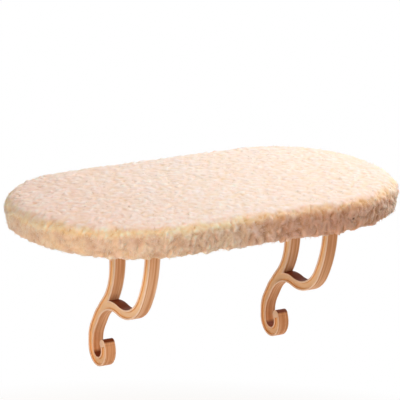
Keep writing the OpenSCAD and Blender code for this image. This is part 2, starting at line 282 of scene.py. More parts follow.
def plan_outline(spacing, inset=0.0):
    """Evenly spaced points round the shelf's plan, drawn in by an inset, each with its outward normal."""
    low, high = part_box("fleece_cover")
    half, rear, front = high[0] - inset, high[1] - inset, low[1] + inset
    front_r = (high[1] - low[1]) / 2 - inset
    rear_r = bpy.context.scene.perch_shelf.rear_radius - inset
    runs = [
        ("arc", (half - rear_r, rear - rear_r), rear_r, 0),
        ("line", (half - rear_r, rear), (rear_r - half, rear), (0, 1)),
        ("arc", (rear_r - half, rear - rear_r), rear_r, 90),
        ("line", (-half, rear - rear_r), (-half, front + front_r), (-1, 0)),
        ("arc", (front_r - half, front + front_r), front_r, 180),
        ("line", (front_r - half, front), (half - front_r, front), (0, -1)),
        ("arc", (half - front_r, front + front_r), front_r, 270),
        ("line", (half, front + front_r), (half, rear - rear_r), (1, 0)),
    ]
    points, normals = [], []
    for kind, start, second, third in runs:
        if kind == "arc":
            steps = round(second * math.pi / 2 / spacing)
            for i in range(steps):
                a = math.radians(third + 90 * i / steps)
                points.append((start[0] + second * math.cos(a), start[1] + second * math.sin(a)))
                normals.append((math.cos(a), math.sin(a)))
        else:
            steps = round(math.dist(start, second) / spacing)
            for i in range(steps):
                t = i / steps
                points.append((start[0] + t * (second[0] - start[0]), start[1] + t * (second[1] - start[1])))
                normals.append(third)
    return np.array(points), np.array(normals)


def inset_of(points, outline):
    """Distance of each point from the nearest point of the outline."""
    found = np.empty(len(points))
    for i in range(0, len(points), 4000):
        gap = points[i:i + 4000, None, :] - outline[None, :, :]
        found[i:i + 4000] = np.sqrt((gap ** 2).sum(axis=2).min(axis=1))
    return found


def in_plan(field):
    """Whether each point lies inside the shelf's plan."""
    low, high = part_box("fleece_cover")
    half, front_r, rear_r = high[0], (high[1] - low[1]) / 2, bpy.context.scene.perch_shelf.rear_radius
    x, y = np.abs(field[:, 0]), field[:, 1]
    rear_dx, rear_dy = x - (half - rear_r), y - (high[1] - rear_r)
    front_dx, front_dy = x - (half - front_r), (low[1] + front_r) - y
    inside = (x < half) & (y < high[1]) & (y > low[1])
    inside &= ~((rear_dx > 0) & (rear_dy > 0) & (rear_dx ** 2 + rear_dy ** 2 > rear_r ** 2))
    inside &= ~((front_dx > 0) & (front_dy > 0) & (front_dx ** 2 + front_dy ** 2 > front_r ** 2))
    return inside


def spaced(corners, spacing):
    """Evenly spaced points along an open line through the corners."""
    corners = np.array(corners)
    gone = np.concatenate([[0], np.cumsum(np.linalg.norm(np.diff(corners, axis=0), axis=1))])
    marks = np.linspace(0, gone[-1], max(2, round(gone[-1] / spacing) + 1))
    return np.stack([np.interp(marks, gone, corners[:, k]) for k in range(corners.shape[1])], axis=1)


def lofted(profile, spacing, top_height, bottom_height=None):
    """Rings [inset, height] round the shelf's plan, closed by a field of evenly spaced points
    inside the last ring, and inside the first one where a bottom height is given."""
    outline, normals = plan_outline(spacing)
    n = len(outline)
    rings = [np.column_stack([outline - inset * normals, np.full(n, height)]) for inset, height in profile]
    points = [np.concatenate(rings)]
    faces = [(i * n + j, i * n + (j + 1) % n, (i + 1) * n + (j + 1) % n, (i + 1) * n + j)
             for i in range(len(profile) - 1) for j in range(n)]
    count = len(points[0])
    ends = [(len(profile) - 1, top_height, False)]
    if bottom_height is not None:
        ends.append((0, bottom_height, True))
    for ring, height, turned in ends:
        rim = rings[ring][:, :2]
        (x0, y0), (x1, y1) = rim.min(axis=0), rim.max(axis=0)
        rows = []
        for k, y in enumerate(np.arange(y0, y1, spacing * 0.93)):
            x = np.arange(x0 + (k % 2) * spacing * 0.535, x1, spacing * 1.07)
            rows.append(np.stack([x, np.full(len(x), y)], axis=1))
        field = np.concatenate(rows)
        field = field[in_plan(field)]
        depth = inset_of(field, outline)
        inside = depth > profile[ring][0] + 0.6 * spacing
        field, depth = field[inside], depth[inside]
        flat = [Vector(p) for p in rim] + [Vector(p) for p in field]
        loop = [(j, (j + 1) % n) for j in range(n)]
        found, _, made, _, _, _ = geometry.delaunay_2d_cdt(flat, loop, [], 1, 1e-7)
        if len(found) != len(flat):
            raise RuntimeError(f"the triangulation changed its points: {len(flat)} became {len(found)}")
        place = [ring * n + j for j in range(n)] + [count + k for k in range(len(field))]
        points.append(np.column_stack([field, height(depth)]))
        count += len(field)
        faces += [tuple(place[v] for v in (reversed(f) if turned else f)) for f in made]
    return np.concatenate(points), faces


def crowned(top, crown, roll):
    """The height of a crowned top as a function of the inset."""
    low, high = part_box("fleece_cover")
    half = (high[1] - low[1]) / 2
    return lambda inset: top + crown * (1 - (1 - np.clip((inset - roll) / (half - roll), 0, 1)) ** 2)


def rolled(inset, radius, top, step=6):
    """The corner over which a side rolls into the top, as [inset, height]."""
    return [(inset + radius * (1 - math.cos(a)), top - radius * (1 - math.sin(a)))
            for a in (math.radians(d) for d in range(0, 91, step))]


def unit(vectors):
    """The vectors at length 1."""
    return vectors / np.linalg.norm(vectors, axis=1, keepdims=True)


def rightwards(points):
    """How far right each point lies, from 0 at the left end to 1 at the right."""
    return np.clip(points[:, 0] / (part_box("fleece_cover")[1][0] * 2) + 0.5, 0, 1)


def outer_share(points):
    """How near each point lies to the shelf's outline: 1 on it, 0 at the hem's inner edge and beyond."""
    outline, _ = plan_outline(0.004)
    return np.clip(1 - inset_of(points[:, :2], outline) / bpy.context.scene.perch_shelf.hem_inset, 0, 1)


def cover_surface(spacing):
    """The cover's smooth surface before its curls: points and faces."""
    shelf = bpy.context.scene.perch_shelf
    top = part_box("fleece_cover")[1][2] - shelf.crown
    hem, hem_top = shelf.hem_inset, shelf.hem_top
    # The section as [inset, height]: over the hem, round its inner edge, along the underside and up the side.
    corners = [(0.010, hem_top), (hem - 0.001, hem_top), (hem, hem_top - 0.001), (hem, 0.001)]
    corners += [(hem - 0.001, 0.0), (0.0075, 0.0), (0.0047, 0.0009), (0.0025, 0.0029), (0.0014, 0.0058)]
    corners += [(0.0006, 0.013), (0.0, 0.020)]
    corners += rolled(0.0, shelf.edge_roll, top)
    points, faces = lofted(spaced(corners, spacing), spacing, crowned(top, shelf.crown, shelf.edge_roll))
    # The elastic draws the lower edge in round the ends, and rounds the rim there, most at the right one.
    right = rightwards(points)
    end = np.clip((np.abs(points[:, 0]) - 0.20) / 0.10, 0, 1) ** 2
    outer = outer_share(points)
    low_share = np.clip(1 - points[:, 2] / 0.026, 0, 1) ** 2 * np.clip(outer * 2.5, 0, 1)
    low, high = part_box("fleece_cover")
    centre = np.array([0, (low[1] + high[1]) / 2])
    inwards = unit(centre - points[:, :2])
    draw = shelf.end_draw * (0.6 + right) * end * low_share
    # Beside the board it stops short of the board's edge.
    under_board = np.clip(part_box("shelf_board")[0][2] - 0.001 - points[:, 2], 0, 1)
    draw = np.minimum(draw, shelf.edge_room + 3 * under_board)
    points[:, :2] += draw[:, None] * inwards
    rim = np.clip(outer * 1.2, 0, 1) * np.clip((points[:, 2] - 0.02) / 0.02, 0, 1)
    points[:, 2] -= shelf.end_drop * (1 + 0.5 * right) * end * rim
    return points, faces


def point_normals(points, faces):
    """Smooth normals at the points."""
    mesh = bpy.data.meshes.new("scratch")
    mesh.from_pydata([tuple(p) for p in points], [], [tuple(f) for f in faces])
    mesh.update()
    normals = np.empty(len(points) * 3)
    mesh.vertex_normals.foreach_get("vector", normals)
    bpy.data.meshes.remove(mesh)
    return normals.reshape(-1, 3)


def thinned(points, gap, rng):
    """A random choice of the points in which no two are nearer than the gap."""
    cells, kept = {}, []
    for i in rng.permutation(len(points)):
        p = points[i]
        cell = tuple(int(v // gap) for v in p)
        near = [q for dx in (-1, 0, 1) for dy in (-1, 0, 1) for dz in (-1, 0, 1)
                for q in cells.get((cell[0] + dx, cell[1] + dy, cell[2] + dz), ())]
        if all(((points[q] - p) ** 2).sum() > gap ** 2 for q in near):
            cells.setdefault(cell, []).append(i)
            kept.append(i)
    return np.array(kept)


def lie_of_pile(points, normals, rng, spread):
    """The way the pile lies at each point: in swirls, with a random share, and downwards on the sides."""
    flow = np.array([noise.noise_vector(Vector(p) / 0.030) for p in points])
    heading = 1.3 * flow + rng.normal(0, spread, points.shape)
    heading[:, 2] -= 0.6 * np.clip(1 - normals[:, 2], 0, 1)
    heading -= (heading * normals).sum(axis=1, keepdims=True) * normals
    return unit(heading)


def ruffled(points, normals):
    """How high the pile stands at each point: highest on the side at the right end, and on top at the left."""
    right = rightwards(points)
    up = np.clip(normals[:, 2], 0, 1)
    return up * (0.85 - 0.4 * right) + (1 - up) * (0.5 + 1.0 * right)


def curls(points, normals):
    """Moves the points out into overlapping dabs of curled pile. Gives the moved points, how high up its dab
    each lies, from 0 to 1, and its place across and along the dab's strands."""
    fleece = bpy.context.scene.perch_fleece
    rng = np.random.default_rng(5)
    seeds = thinned(points, fleece.dab_gap, rng)
    lie = lie_of_pile(points[seeds], normals[seeds], rng, 0.6)
    across = np.cross(normals[seeds], lie)
    size = rng.uniform(0.75, 1.3, len(seeds))
    height_share = ruffled(points, normals)
    tall = rng.uniform(0.6, 1.25, len(seeds)) * height_share[seeds]
    tree = kdtree.KDTree(len(points))
    for i, p in enumerate(points):
        tree.insert(p, i)
    tree.balance()
    lift = np.zeros(len(points))
    strand = np.zeros((len(points), 3))
    lean = np.zeros((len(points), 3))
    for k, seed in enumerate(seeds):
        reach = fleece.dab_length * size[k]
        found = np.array([i for _, i, _ in tree.find_range(points[seed], reach)])
        offset = points[found] - points[seed]
        u, v = offset @ lie[k] / reach, offset @ across[k] / (fleece.dab_width * size[k])
        bent = v + 0.5 * u * u * math.copysign(1, math.sin(k * 2.4))
        dome = np.clip(1 - (u - 0.15) ** 2 / np.where(u > 0.15, 0.7, 1.2) - bent ** 2, 0, 1) ** 0.7 * tall[k]
        better = dome > lift[found]
        chosen = found[better]
        lift[chosen] = dome[better]
        row = np.full(better.sum(), 0.8 * (k % 5))
        strand[chosen] = np.column_stack([bent[better] * fleece.dab_width, u[better] * reach, row])
        lean[chosen] = lie[k]
    clump, fuzz = np.empty(len(points)), np.empty(len(points))
    for i, p in enumerate(points):
        place = Vector(p)
        far, _ = noise.voronoi((place + 0.0032 * noise.noise_vector(place / 0.017)) / fleece.clump)
        clump[i] = max(0.0, 1 - (far[0] / 0.85) ** 2) * min(1.0, (far[1] - far[0]) / 0.3 + 0.3)
        fuzz[i] = noise.noise(place / 0.0025)
    clump_lift = fleece.clump_height * clump * (0.4 + 0.6 * height_share)
    height = clump_lift + fleece.dab_height * (lift + 0.18 * fuzz) - fleece.bedding
    moved = points + height[:, None] * normals + (fleece.lean * fleece.dab_height * lift)[:, None] * lean
    low_down = np.clip((0.012 - points[:, 2]) / 0.008, 0, 1)
    hem_side = low_down * np.clip((outer_share(points) - 0.25) / 0.5, 0, 1)
    right_end = rightwards(points) * np.clip((points[:, 0] - 0.20) / 0.08, 0, 1)
    hang = fleece.hang * (0.25 + 0.75 * clump) * (0.5 + 0.7 * lift)
    moved[:, 2] += (fleece.end_lift * right_end - hang) * hem_side
    return moved, np.clip(0.3 * clump + 0.62 * lift + 0.1 * fuzz, 0, 1), strand


def wisps_mesh(points, normals, moved, heights):
    """Thin tapered wisps that stand off the curls: points, faces, each point's root, and its share up."""
    fleece = bpy.context.scene.perch_fleece
    rng = np.random.default_rng(3)
    outside = np.flatnonzero((normals[:, 2] > -0.7) & (heights > 0.2))
    chance = 1.06 - np.clip(normals[outside, 2], 0, 1) - np.clip(-normals[outside, 2], 0, 1)
    roots = rng.choice(outside, fleece.wisps, replace=False, p=chance / chance.sum())
    n = normals[roots]
    t = lie_of_pile(points[roots], n, rng, 0.5)
    b = np.cross(n, t)
    length = rng.uniform(0.6, 1.4, len(roots)) * fleece.wisp_length
    width = rng.uniform(0.7, 1.3, len(roots)) * fleece.wisp_width
    turn = rng.uniform(-0.5, 0.5, len(roots))
    jitter = rng.normal(0, 0.0006, (len(roots), 2))
    base = moved[roots] - 0.0006 * n + jitter[:, :1] * t + jitter[:, 1:] * b

    def bent_to(along, out, aside):
        return (base + (along * length)[:, None] * t + (out * length)[:, None] * n
                + (aside * length * turn)[:, None] * b)

    middle, tip = bent_to(0.42, 0.22, 0.25), bent_to(0.85, 0.12, 1.0)
    rows = []
    for centre, share in ((base, 1.0), (middle, 0.75)):
        for a in (math.radians(d) for d in (90, 210, 330)):
            rows.append(centre + (share * width)[:, None] * (0.5 * math.cos(a) * b + 0.4 * math.sin(a) * n))
    rows.append(tip)
    verts = np.stack(rows, axis=1)
    pattern = [(j, (j + 1) % 3, 3 + (j + 1) % 3, 3 + j) for j in range(3)]
    pattern += [(3 + j, 3 + (j + 1) % 3, 6) for j in range(3)] + [(2, 1, 0)]
    faces = [tuple(7 * i + v for v in f) for i in range(len(roots)) for f in pattern]
    up = np.tile([0.3, 0.3, 0.3, 0.8, 0.8, 0.8, 1.0], len(roots))
    return verts.reshape(-1, 3), faces, np.repeat(roots, 7), up


def fleece_material(name, scatter):
    # Acrylic sherpa pile, knitted and brushed into curls: cream tips and fine strands along each curl. The
    # colour is picked by how far the surface turns from up: gold over the rim, partly the pile's roots where
    # the curls part and partly painted shade, and darker, pinker tones on the side, which are painted shade.
    # Low in the pile, between
    # the curls, each set of tones runs darker: painted shade, with some of the gold roots.
    material, tree, shader, where = new_material(name, {
        "Roughness": 0.95, "Specular IOR Level": 0.15,
        "Sheen Weight": 0.3, "Sheen Roughness": 0.6, "Sheen Tint": linear("#fff1e0"),
        "Subsurface Weight": 0.8, "Subsurface Radius": (0.0055, 0.004, 0.003), "Subsurface Scale": scatter})
    colours = bpy.context.scene.perch_colours
    pile, parted, painted_shade_share = (add_node(tree, "Attribute", {"attribute_name": stored}).outputs["Fac"]
                            for stored in ("pile", "parted", "open"))
    # Strands 0.9 mm apart and 5.5 mm long: coarser than the fibres, so that they show.
    lie = add_node(tree, "Attribute", {"attribute_name": "strand"}).outputs["Vector"]
    drawn = add_node(tree, "Mapping", inputs={"Vector": lie, "Scale": (1100.0, 180.0, 1.0)}).outputs["Vector"]
    fine = add_node(tree, "TexNoise", inputs={"Vector": drawn, "Scale": 1.0, "Detail": 2.0}).outputs["Fac"]
    depth = add_node(tree, "MapRange", inputs={"Value": parted, 3: 0.75, 4: 1.0}).outputs[0]
    yarn = add_node(tree, "Math", {"operation": "MULTIPLY"}, {0: fine, 1: depth}).outputs[0]
    mixed = add_node(tree, "Math", {"operation": "MULTIPLY_ADD"}, {0: yarn, 1: 0.24, 2: pile}).outputs[0]
    # Tones drift over 60 mm.
    broad = add_node(tree, "TexNoise", inputs={"Vector": where, "Scale": 16.0, "Detail": 2.0}).outputs["Fac"]
    tone = add_node(tree, "Math", {"operation": "MULTIPLY_ADD"}, {0: broad, 1: 0.24, 2: mixed}).outputs[0]
    lying, bent, side = (add_node(tree, "ValToRGB", {"stops": stops}, {"Fac": tone}).outputs[0] for stops in (
        [(0.15, "#e9c386"), (0.36, "#f4d8c0"), (0.75, colours.pile_top), (1.0, "#fff2ea")],
        [(0.2, "#d6a668"), (0.5, "#f4d1a0"), (0.85, colours.pile_rim), (1.0, "#fff2dc")],
        [(0.2, "#b8866a"), (0.5, "#d9b496"), (0.85, colours.pile_side_shaded), (1.0, "#f4e0d1")]))
    # The bounds between top, rim and side wander in patches of 22 mm.
    patches = add_node(tree, "TexNoise", inputs={"Vector": where, "Scale": 45.0, "Detail": 3.0}).outputs["Fac"]
    ragged = add_node(tree, "Math", {"operation": "MULTIPLY_ADD"}, {0: patches, 1: 0.9, 2: parted}).outputs[0]
    over_rim = add_node(tree, "MapRange", inputs={"Value": ragged, 1: 0.52, 2: 0.85}).outputs[0]
    down_side = add_node(tree, "MapRange", inputs={"Value": ragged, 1: 1.03, 2: 1.58}).outputs[0]
    upper = add_node(tree, "Mix", {"data_type": "RGBA"}, {0: over_rim, 6: lying, 7: bent}).outputs[2]
    whole = add_node(tree, "Mix", {"data_type": "RGBA"}, {0: down_side, 6: upper, 7: side}).outputs[2]
    # Painted shade: darker on the side right of the middle and a little at the top's left end, where less light
    # falls.
    colour = add_node(tree, "Mix", {"data_type": "RGBA", "blend_type": "MULTIPLY"},
                      {0: painted_shade_share, 6: whole, 7: linear("#ebcec0")}).outputs[2]
    relief = add_node(tree, "Bump", inputs={"Height": yarn, "Distance": 0.0005, "Strength": 0.6})
    tree.links.new(relief.outputs["Normal"], shader.inputs["Normal"])
    tree.links.new(colour, shader.inputs["Base Color"])
    return material


class PERCH_OT_fleece_cover(bpy.types.Operator):
    """Makes the curly fitted cover with its turned hem, and the wisps that stand off it"""
    bl_idname = "perch.fleece_cover"
    bl_label = "Fleece cover"

    def execute(self, context):
        # The noise is seeded, so that the pile lies in the same swirls each run.
        noise.seed_set(7)
        points, faces = cover_surface(context.scene.perch_fleece.spacing)
        normals = point_normals(points, faces)
        moved, heights, strand = curls(points, normals)
        # How far the surface turns from up; it places the rim's gold and the side's painted shade.
        parted = np.clip(1.08 * (1 - np.clip(normals[:, 2], 0, 1)), 0, 1)
        pile = fleece_material("Acrylic sherpa pile, cream", 1.0)
        cover = new_object("curly_fleece_cover", moved, faces, pile, "shelf")
        add_attribute(cover, "pile", heights)
        add_attribute(cover, "parted", parted)
        right = rightwards(points)
        # Painted shade is strongest right of the middle on the side, and a little at the top's left end.
        painted_shade_share = np.clip(1 - ((right - 0.70) / 0.30) ** 2, 0, 1) * np.clip(1.3 * parted, 0, 1)
        painted_shade_share += 0.35 * np.clip(1 - right / 0.45, 0, 1) * np.clip(1 - 2 * parted, 0, 1)
        add_attribute(cover, "open", painted_shade_share)
        add_attribute(cover, "strand", strand, "FLOAT_VECTOR")
        verts, spikes, roots, up = wisps_mesh(points, normals, moved, heights)
        wisp = fleece_material("Acrylic sherpa wisps, cream", 0.06)
        wisps = new_object("fleece_wisps", verts, spikes, wisp, "shelf")
        # Painted light: the wisps take paler pile tones than the curls at their roots, palest at their tips.
        add_attribute(wisps, "pile", np.clip(0.35 + heights[roots] + 0.3 * up, 0, 1.2))
        add_attribute(wisps, "parted", parted[roots])
        add_attribute(wisps, "open", painted_shade_share[roots])
        add_attribute(wisps, "strand", strand[roots], "FLOAT_VECTOR")
        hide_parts("fleece_cover")
        return {"FINISHED"}


# ---- brackets ----

def bracket_material():
    # Injection-moulded polypropylene, tan: flow streaks along the straps, a painted highlight along the edges,
    # painted shade in the coves of the hollows, and dark brown painted shade where a strap faces up.
    material, tree, shader, where = new_material("Moulded polypropylene, tan", {
        "IOR": 1.49, "Specular IOR Level": 0.15})
    colours = bpy.context.scene.perch_colours
    across, hollow, upward = (add_node(tree, "Attribute", {"attribute_name": stored}).outputs["Fac"]
                              for stored in ("across", "hollow", "upward"))
    # Streaks 3 mm apart and 125 mm long: coarser than real flow lines, so that they show.
    along = add_node(tree, "Mapping", inputs={"Vector": where, "Scale": (320.0, 8.0, 8.0)}).outputs["Vector"]
    streaks = add_node(tree, "TexNoise", inputs={"Vector": along, "Scale": 1.0, "Detail": 1.5}).outputs["Fac"]
    face = add_node(tree, "ValToRGB", {"stops": [
        (0.38, "#d89b6d"), (0.5, colours.bracket), (0.62, "#f1c59e")]}, {"Fac": streaks}).outputs["Color"]
    # Painted shade: darker, more saturated amber in the coves of the hollows, paler on their floors.
    deep = add_node(tree, "ValToRGB", {"stops": [
        (0.0, "#f2c79a"), (0.25, "#d48c3e"), (0.6, colours.bracket_hollow), (1.0, "#f8d6ac")]},
        {"Fac": hollow}).outputs["Color"]
    # Painted highlight: the edges are pale from 7.6 mm off the strap's middle.
    off_middle = add_node(tree, "Math", {"operation": "ABSOLUTE"}, {0: across}).outputs[0]
    edge = add_node(tree, "MapRange", inputs={"Value": off_middle, 1: 0.0076, 2: 0.0084}).outputs[0]
    pale = add_node(tree, "Mix", {"data_type": "RGBA"}, {0: edge, 6: face, 7: linear("#f8dcc2")}).outputs[2]
    inside = add_node(tree, "MapRange", inputs={"Value": hollow, 1: 0.05, 2: 0.25}).outputs[0]
    plain = add_node(tree, "Mix", {"data_type": "RGBA"}, {0: inside, 6: pale, 7: deep}).outputs[2]
    # Painted shade: dark brown where a strap's outer face turns up, under the shelf.
    with_up_shade = add_node(tree, "Mix", {"data_type": "RGBA"},
                       {0: upward, 6: plain, 7: linear("#7a3d20")}).outputs[2]
    # Painted shade: the colour darkens from the legs down to the scrolls.
    height = add_node(tree, "SeparateXYZ", inputs={0: where}).outputs["Z"]
    low_down = add_node(tree, "MapRange", inputs={"Value": height, 1: -0.08, 2: -0.2}).outputs[0]
    colour = add_node(tree, "Mix", {"data_type": "RGBA", "blend_type": "MULTIPLY"},
                      {0: low_down, 6: with_up_shade, 7: linear("#f8eade")}).outputs[2]
    rough = add_node(tree, "MapRange", inputs={"Value": streaks, 3: 0.45, 4: 0.6}).outputs[0]
    tree.links.new(rough, shader.inputs["Roughness"])
    relief = add_node(tree, "Bump", inputs={"Height": streaks, "Distance": 0.0002, "Strength": 0.4})
    tree.links.new(relief.outputs["Normal"], shader.inputs["Normal"])
    tree.links.new(colour, shader.inputs["Base Color"])
    return material


def softened(node, name, width, material, body, cove=0.0, sharp=math.radians(26)):
    """A copy of a CAD node with its sharp edges rounded, standing for that node. A cove rounds
    the inner corners of its hollows."""
    work = bmesh.new()
    work.from_mesh(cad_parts[node].data)
    bmesh.ops.remove_doubles(work, verts=work.verts, dist=2e-6)
    bmesh.ops.dissolve_limit(work, angle_limit=math.radians(0.6), verts=work.verts, edges=work.edges)

    def rounded(edges, radius, steps):
        bmesh.ops.bevel(work, geom=edges, offset=radius, segments=steps, profile=0.5, affect="EDGES",
                        clamp_overlap=False, offset_type="OFFSET")

    if cove:
        rounded([e for e in work.edges
                 if len(e.link_faces) == 2 and not e.is_convex and e.calc_face_angle() > math.radians(70)
                 and max(abs(f.normal.x) for f in e.link_faces) > 0.99], cove, 5)
    rounded([e for e in work.edges if len(e.link_faces) == 2 and e.calc_face_angle() > sharp], width, 3)
    mesh = bpy.data.meshes.new(name)
    work.to_mesh(mesh)
    work.free()
    piece = placed(name, mesh, material, body)
    shine = piece.modifiers.new("even normals", "WEIGHTED_NORMAL")
    shine.keep_sharp = False
    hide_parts(node)
    return piece


class PERCH_OT_brackets(bpy.types.Operator):
    """Makes the two scrolled brackets"""
    bl_idname = "perch.brackets"
    bl_label = "Brackets"

    def execute(self, context):
        bracket = context.scene.perch_bracket
        material = bracket_material()
        for side in ("left", "right"):
            piece = softened(f"{side}_bracket", f"{side}_scrolled_bracket", bracket.edge_radius, material,
                             f"{side}_bracket", cove=bracket.cove_radius)
            self.paint(piece, side, bracket)
        return {"FINISHED"}

    def paint(self, piece, side, bracket, leg_top=-0.0005, leg_foot=-0.06):
        """Stores each point's place across the strap, how deep it lies in a hollow, and how far it faces up,
        for the painted shade.
        """
        low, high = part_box(f"{side}_bracket")
        middle, half = (low[0] + high[0]) / 2, bracket.strap_width / 2
        mesh, points = piece.data, points_of(piece)
        across = points[:, 0] - middle
        across[np.abs(across) > half + 0.0002] = 0
        depth = half - np.abs(across)
        # The faces between a strap's two side faces.
        outer = {v for f in mesh.polygons
                 if abs(f.normal.x) < 0.2 and abs(f.center.x - middle) < 0.004 for v in f.vertices}
        straps = np.zeros(len(points), dtype=bool)
        straps[list(outer)] = True
        facing = np.empty(len(points) * 3)
        mesh.vertex_normals.foreach_get("vector", facing)
        # Painted shade mask: outer strap faces that turn up, below the legs.
        upward = np.clip((facing[2::3] - 0.35) / 0.35, 0, 1) * straps * (points[:, 2] < leg_foot)
        inwards = (depth - bracket.edge_radius) / (bracket.hollow_depth - bracket.edge_radius)
        hollow = np.clip(inwards, 0, 1) * (points[:, 2] < leg_top) * ~straps
        add_attribute(piece, "across", across)
        add_attribute(piece, "hollow", hollow)
        add_attribute(piece, "upward", upward)


# ---- under the cover ----

def patterned(name, finish, texture, settings, colours, distance, strength):
    """A material whose one texture drives both its colour and its relief."""
    material, tree, shader, where = new_material(name, finish)
    made = add_node(tree, texture, inputs={"Vector": where, **settings})
    pattern = made.outputs["Distance" if texture == "TexVoronoi" else "Fac"]
    tint = add_node(tree, "ValToRGB", {"stops": colours}, {"Fac": pattern}).outputs["Color"]
    relief = add_node(tree, "Bump", inputs={"Height": pattern, "Distance": distance, "Strength": strength})
    tree.links.new(relief.outputs["Normal"], shader.inputs["Normal"])
    tree.links.new(tint, shader.inputs["Base Color"])
    return material


def foam_material():
    # Open-celled polyurethane foam, pale yellow: cells of 1.1 mm, and tones that drift over 40 mm.
    material, tree, shader, where = new_material("Open-cell polyurethane foam", {"Roughness": 0.95})
    cells = add_node(tree, "TexVoronoi", inputs={"Vector": where, "Scale": 900.0}).outputs["Distance"]
    broad = add_node(tree, "TexNoise", inputs={"Vector": where, "Scale": 25.0, "Detail": 3.0}).outputs["Fac"]
    mixed = add_node(tree, "Math", {"operation": "MULTIPLY_ADD"}, {0: cells, 1: 0.5, 2: broad}).outputs[0]
    tint = add_node(tree, "ValToRGB", {"stops": [(0.3, "#d9cfa4"), (0.9, "#f1eac8")]}, {"Fac": mixed})
    relief = add_node(tree, "Bump", inputs={"Height": cells, "Distance": 0.0006, "Strength": 0.8})
    tree.links.new(relief.outputs["Normal"], shader.inputs["Normal"])
    tree.links.new(tint.outputs["Color"], shader.inputs["Base Color"])
    return material


def elastic_material():
    # Braided elastic: cotton yarn over rubber, in stitches of 0.7 mm.
    return patterned("Braided elastic, natural", {"Roughness": 0.85}, "TexVoronoi", {"Scale": 1500.0},
                     [(0.1, "#f1e9d8"), (0.8, "#cdbd9f")], 0.0003, 0.7)


def tape_material(name, pale, deep):
    # Woven nylon tape: yarn 0.9 mm thick with a soft gloss.
    return patterned(name, {"Roughness": 0.6, "Sheen Weight": 0.2}, "TexNoise",
                     {"Scale": 1100.0, "Detail": 2.0}, [(0.35, deep), (0.65, pale)], 0.0002, 0.6)


def board_material():
    # Birch plywood: grain 12 mm wide and 140 mm long, and pores 0.8 mm wide, which is wider than real ones so
    # that they show.
    material, tree, shader, where = new_material("Birch plywood", {"Roughness": 0.7})
    long_way = add_node(tree, "Mapping", inputs={"Vector": where, "Scale": (1.2, 14.0, 14.0)}).outputs["Vector"]
    grain = add_node(tree, "TexNoise", inputs={
        "Vector": long_way, "Scale": 6.0, "Detail": 8.0, "Distortion": 0.8}).outputs["Fac"]
    pores = add_node(tree, "Mapping", inputs={"Vector": where, "Scale": (40.0, 1200.0, 1200.0)}).outputs[0]
    fine = add_node(tree, "TexNoise", inputs={"Vector": pores, "Scale": 1.0, "Detail": 3.0}).outputs["Fac"]
    mixed = add_node(tree, "Math", {"operation": "MULTIPLY_ADD"}, {0: fine, 1: 0.35, 2: grain}).outputs[0]
    tint = add_node(tree, "ValToRGB", {"stops": [
        (0.4, "#b98f5e"), (0.65, "#d8b483"), (0.9, "#e6cba0")]}, {"Fac": mixed}).outputs["Color"]
    relief = add_node(tree, "Bump", inputs={"Height": fine, "Distance": 0.0002, "Strength": 0.5})
    tree.links.new(relief.outputs["Normal"], shader.inputs["Normal"])
    tree.links.new(tint, shader.inputs["Base Color"])
    return material


def zinc_material():
    # Zinc-plated steel: a bright metal with a faint blue spangle of 1.4 mm and fine rubbing.
    material, tree, shader, where = new_material("Zinc-plated steel", {"Metallic": 1.0})
    spangle = add_node(tree, "TexVoronoi", inputs={"Vector": where, "Scale": 700.0}).outputs["Distance"]
    tint = add_node(tree, "ValToRGB", {"stops": [(0.1, "#b9bdc2"), (0.8, "#d5d6d8")]}, {"Fac": spangle})
    tree.links.new(tint.outputs["Color"], shader.inputs["Base Color"])
    rub = add_node(tree, "TexNoise", inputs={"Vector": where, "Scale": 300.0, "Detail": 4.0}).outputs["Fac"]
    rough = add_node(tree, "MapRange", inputs={"Value": rub, 3: 0.28, 4: 0.45}).outputs[0]
    tree.links.new(rough, shader.inputs["Roughness"])
    return material


def knob_material():
    # Moulded ABS, dark brown, with a spark-eroded grain of 0.6 mm, coarser than the real one so that it shows.
    knob = bpy.context.scene.perch_colours.knob
    return patterned("Moulded ABS, dark brown", {"Roughness": 0.5}, "TexNoise",
                     {"Scale": 1600.0, "Detail": 2.0}, [(0.3, "#332d28"), (0.7, knob)], 0.0001, 0.5)


def swept_band(inset, section, spacing, wave):
    """A closed band round the shelf's plan at an inset. The section's points are [inwards, up],
    and wave moves them at each step along the band."""
    line, normals = plan_outline(spacing, inset)
    n, m = len(line), len(section)
    points = [(*(line[i] - (u + wave(i, u, v)) * normals[i]), v) for i in range(n) for u, v in section]
    faces = [(i * m + j, i * m + (j + 1) % m, (i + 1) % n * m + (j + 1) % m, (i + 1) % n * m + j)
             for i in range(n) for j in range(m)]
    return points, faces


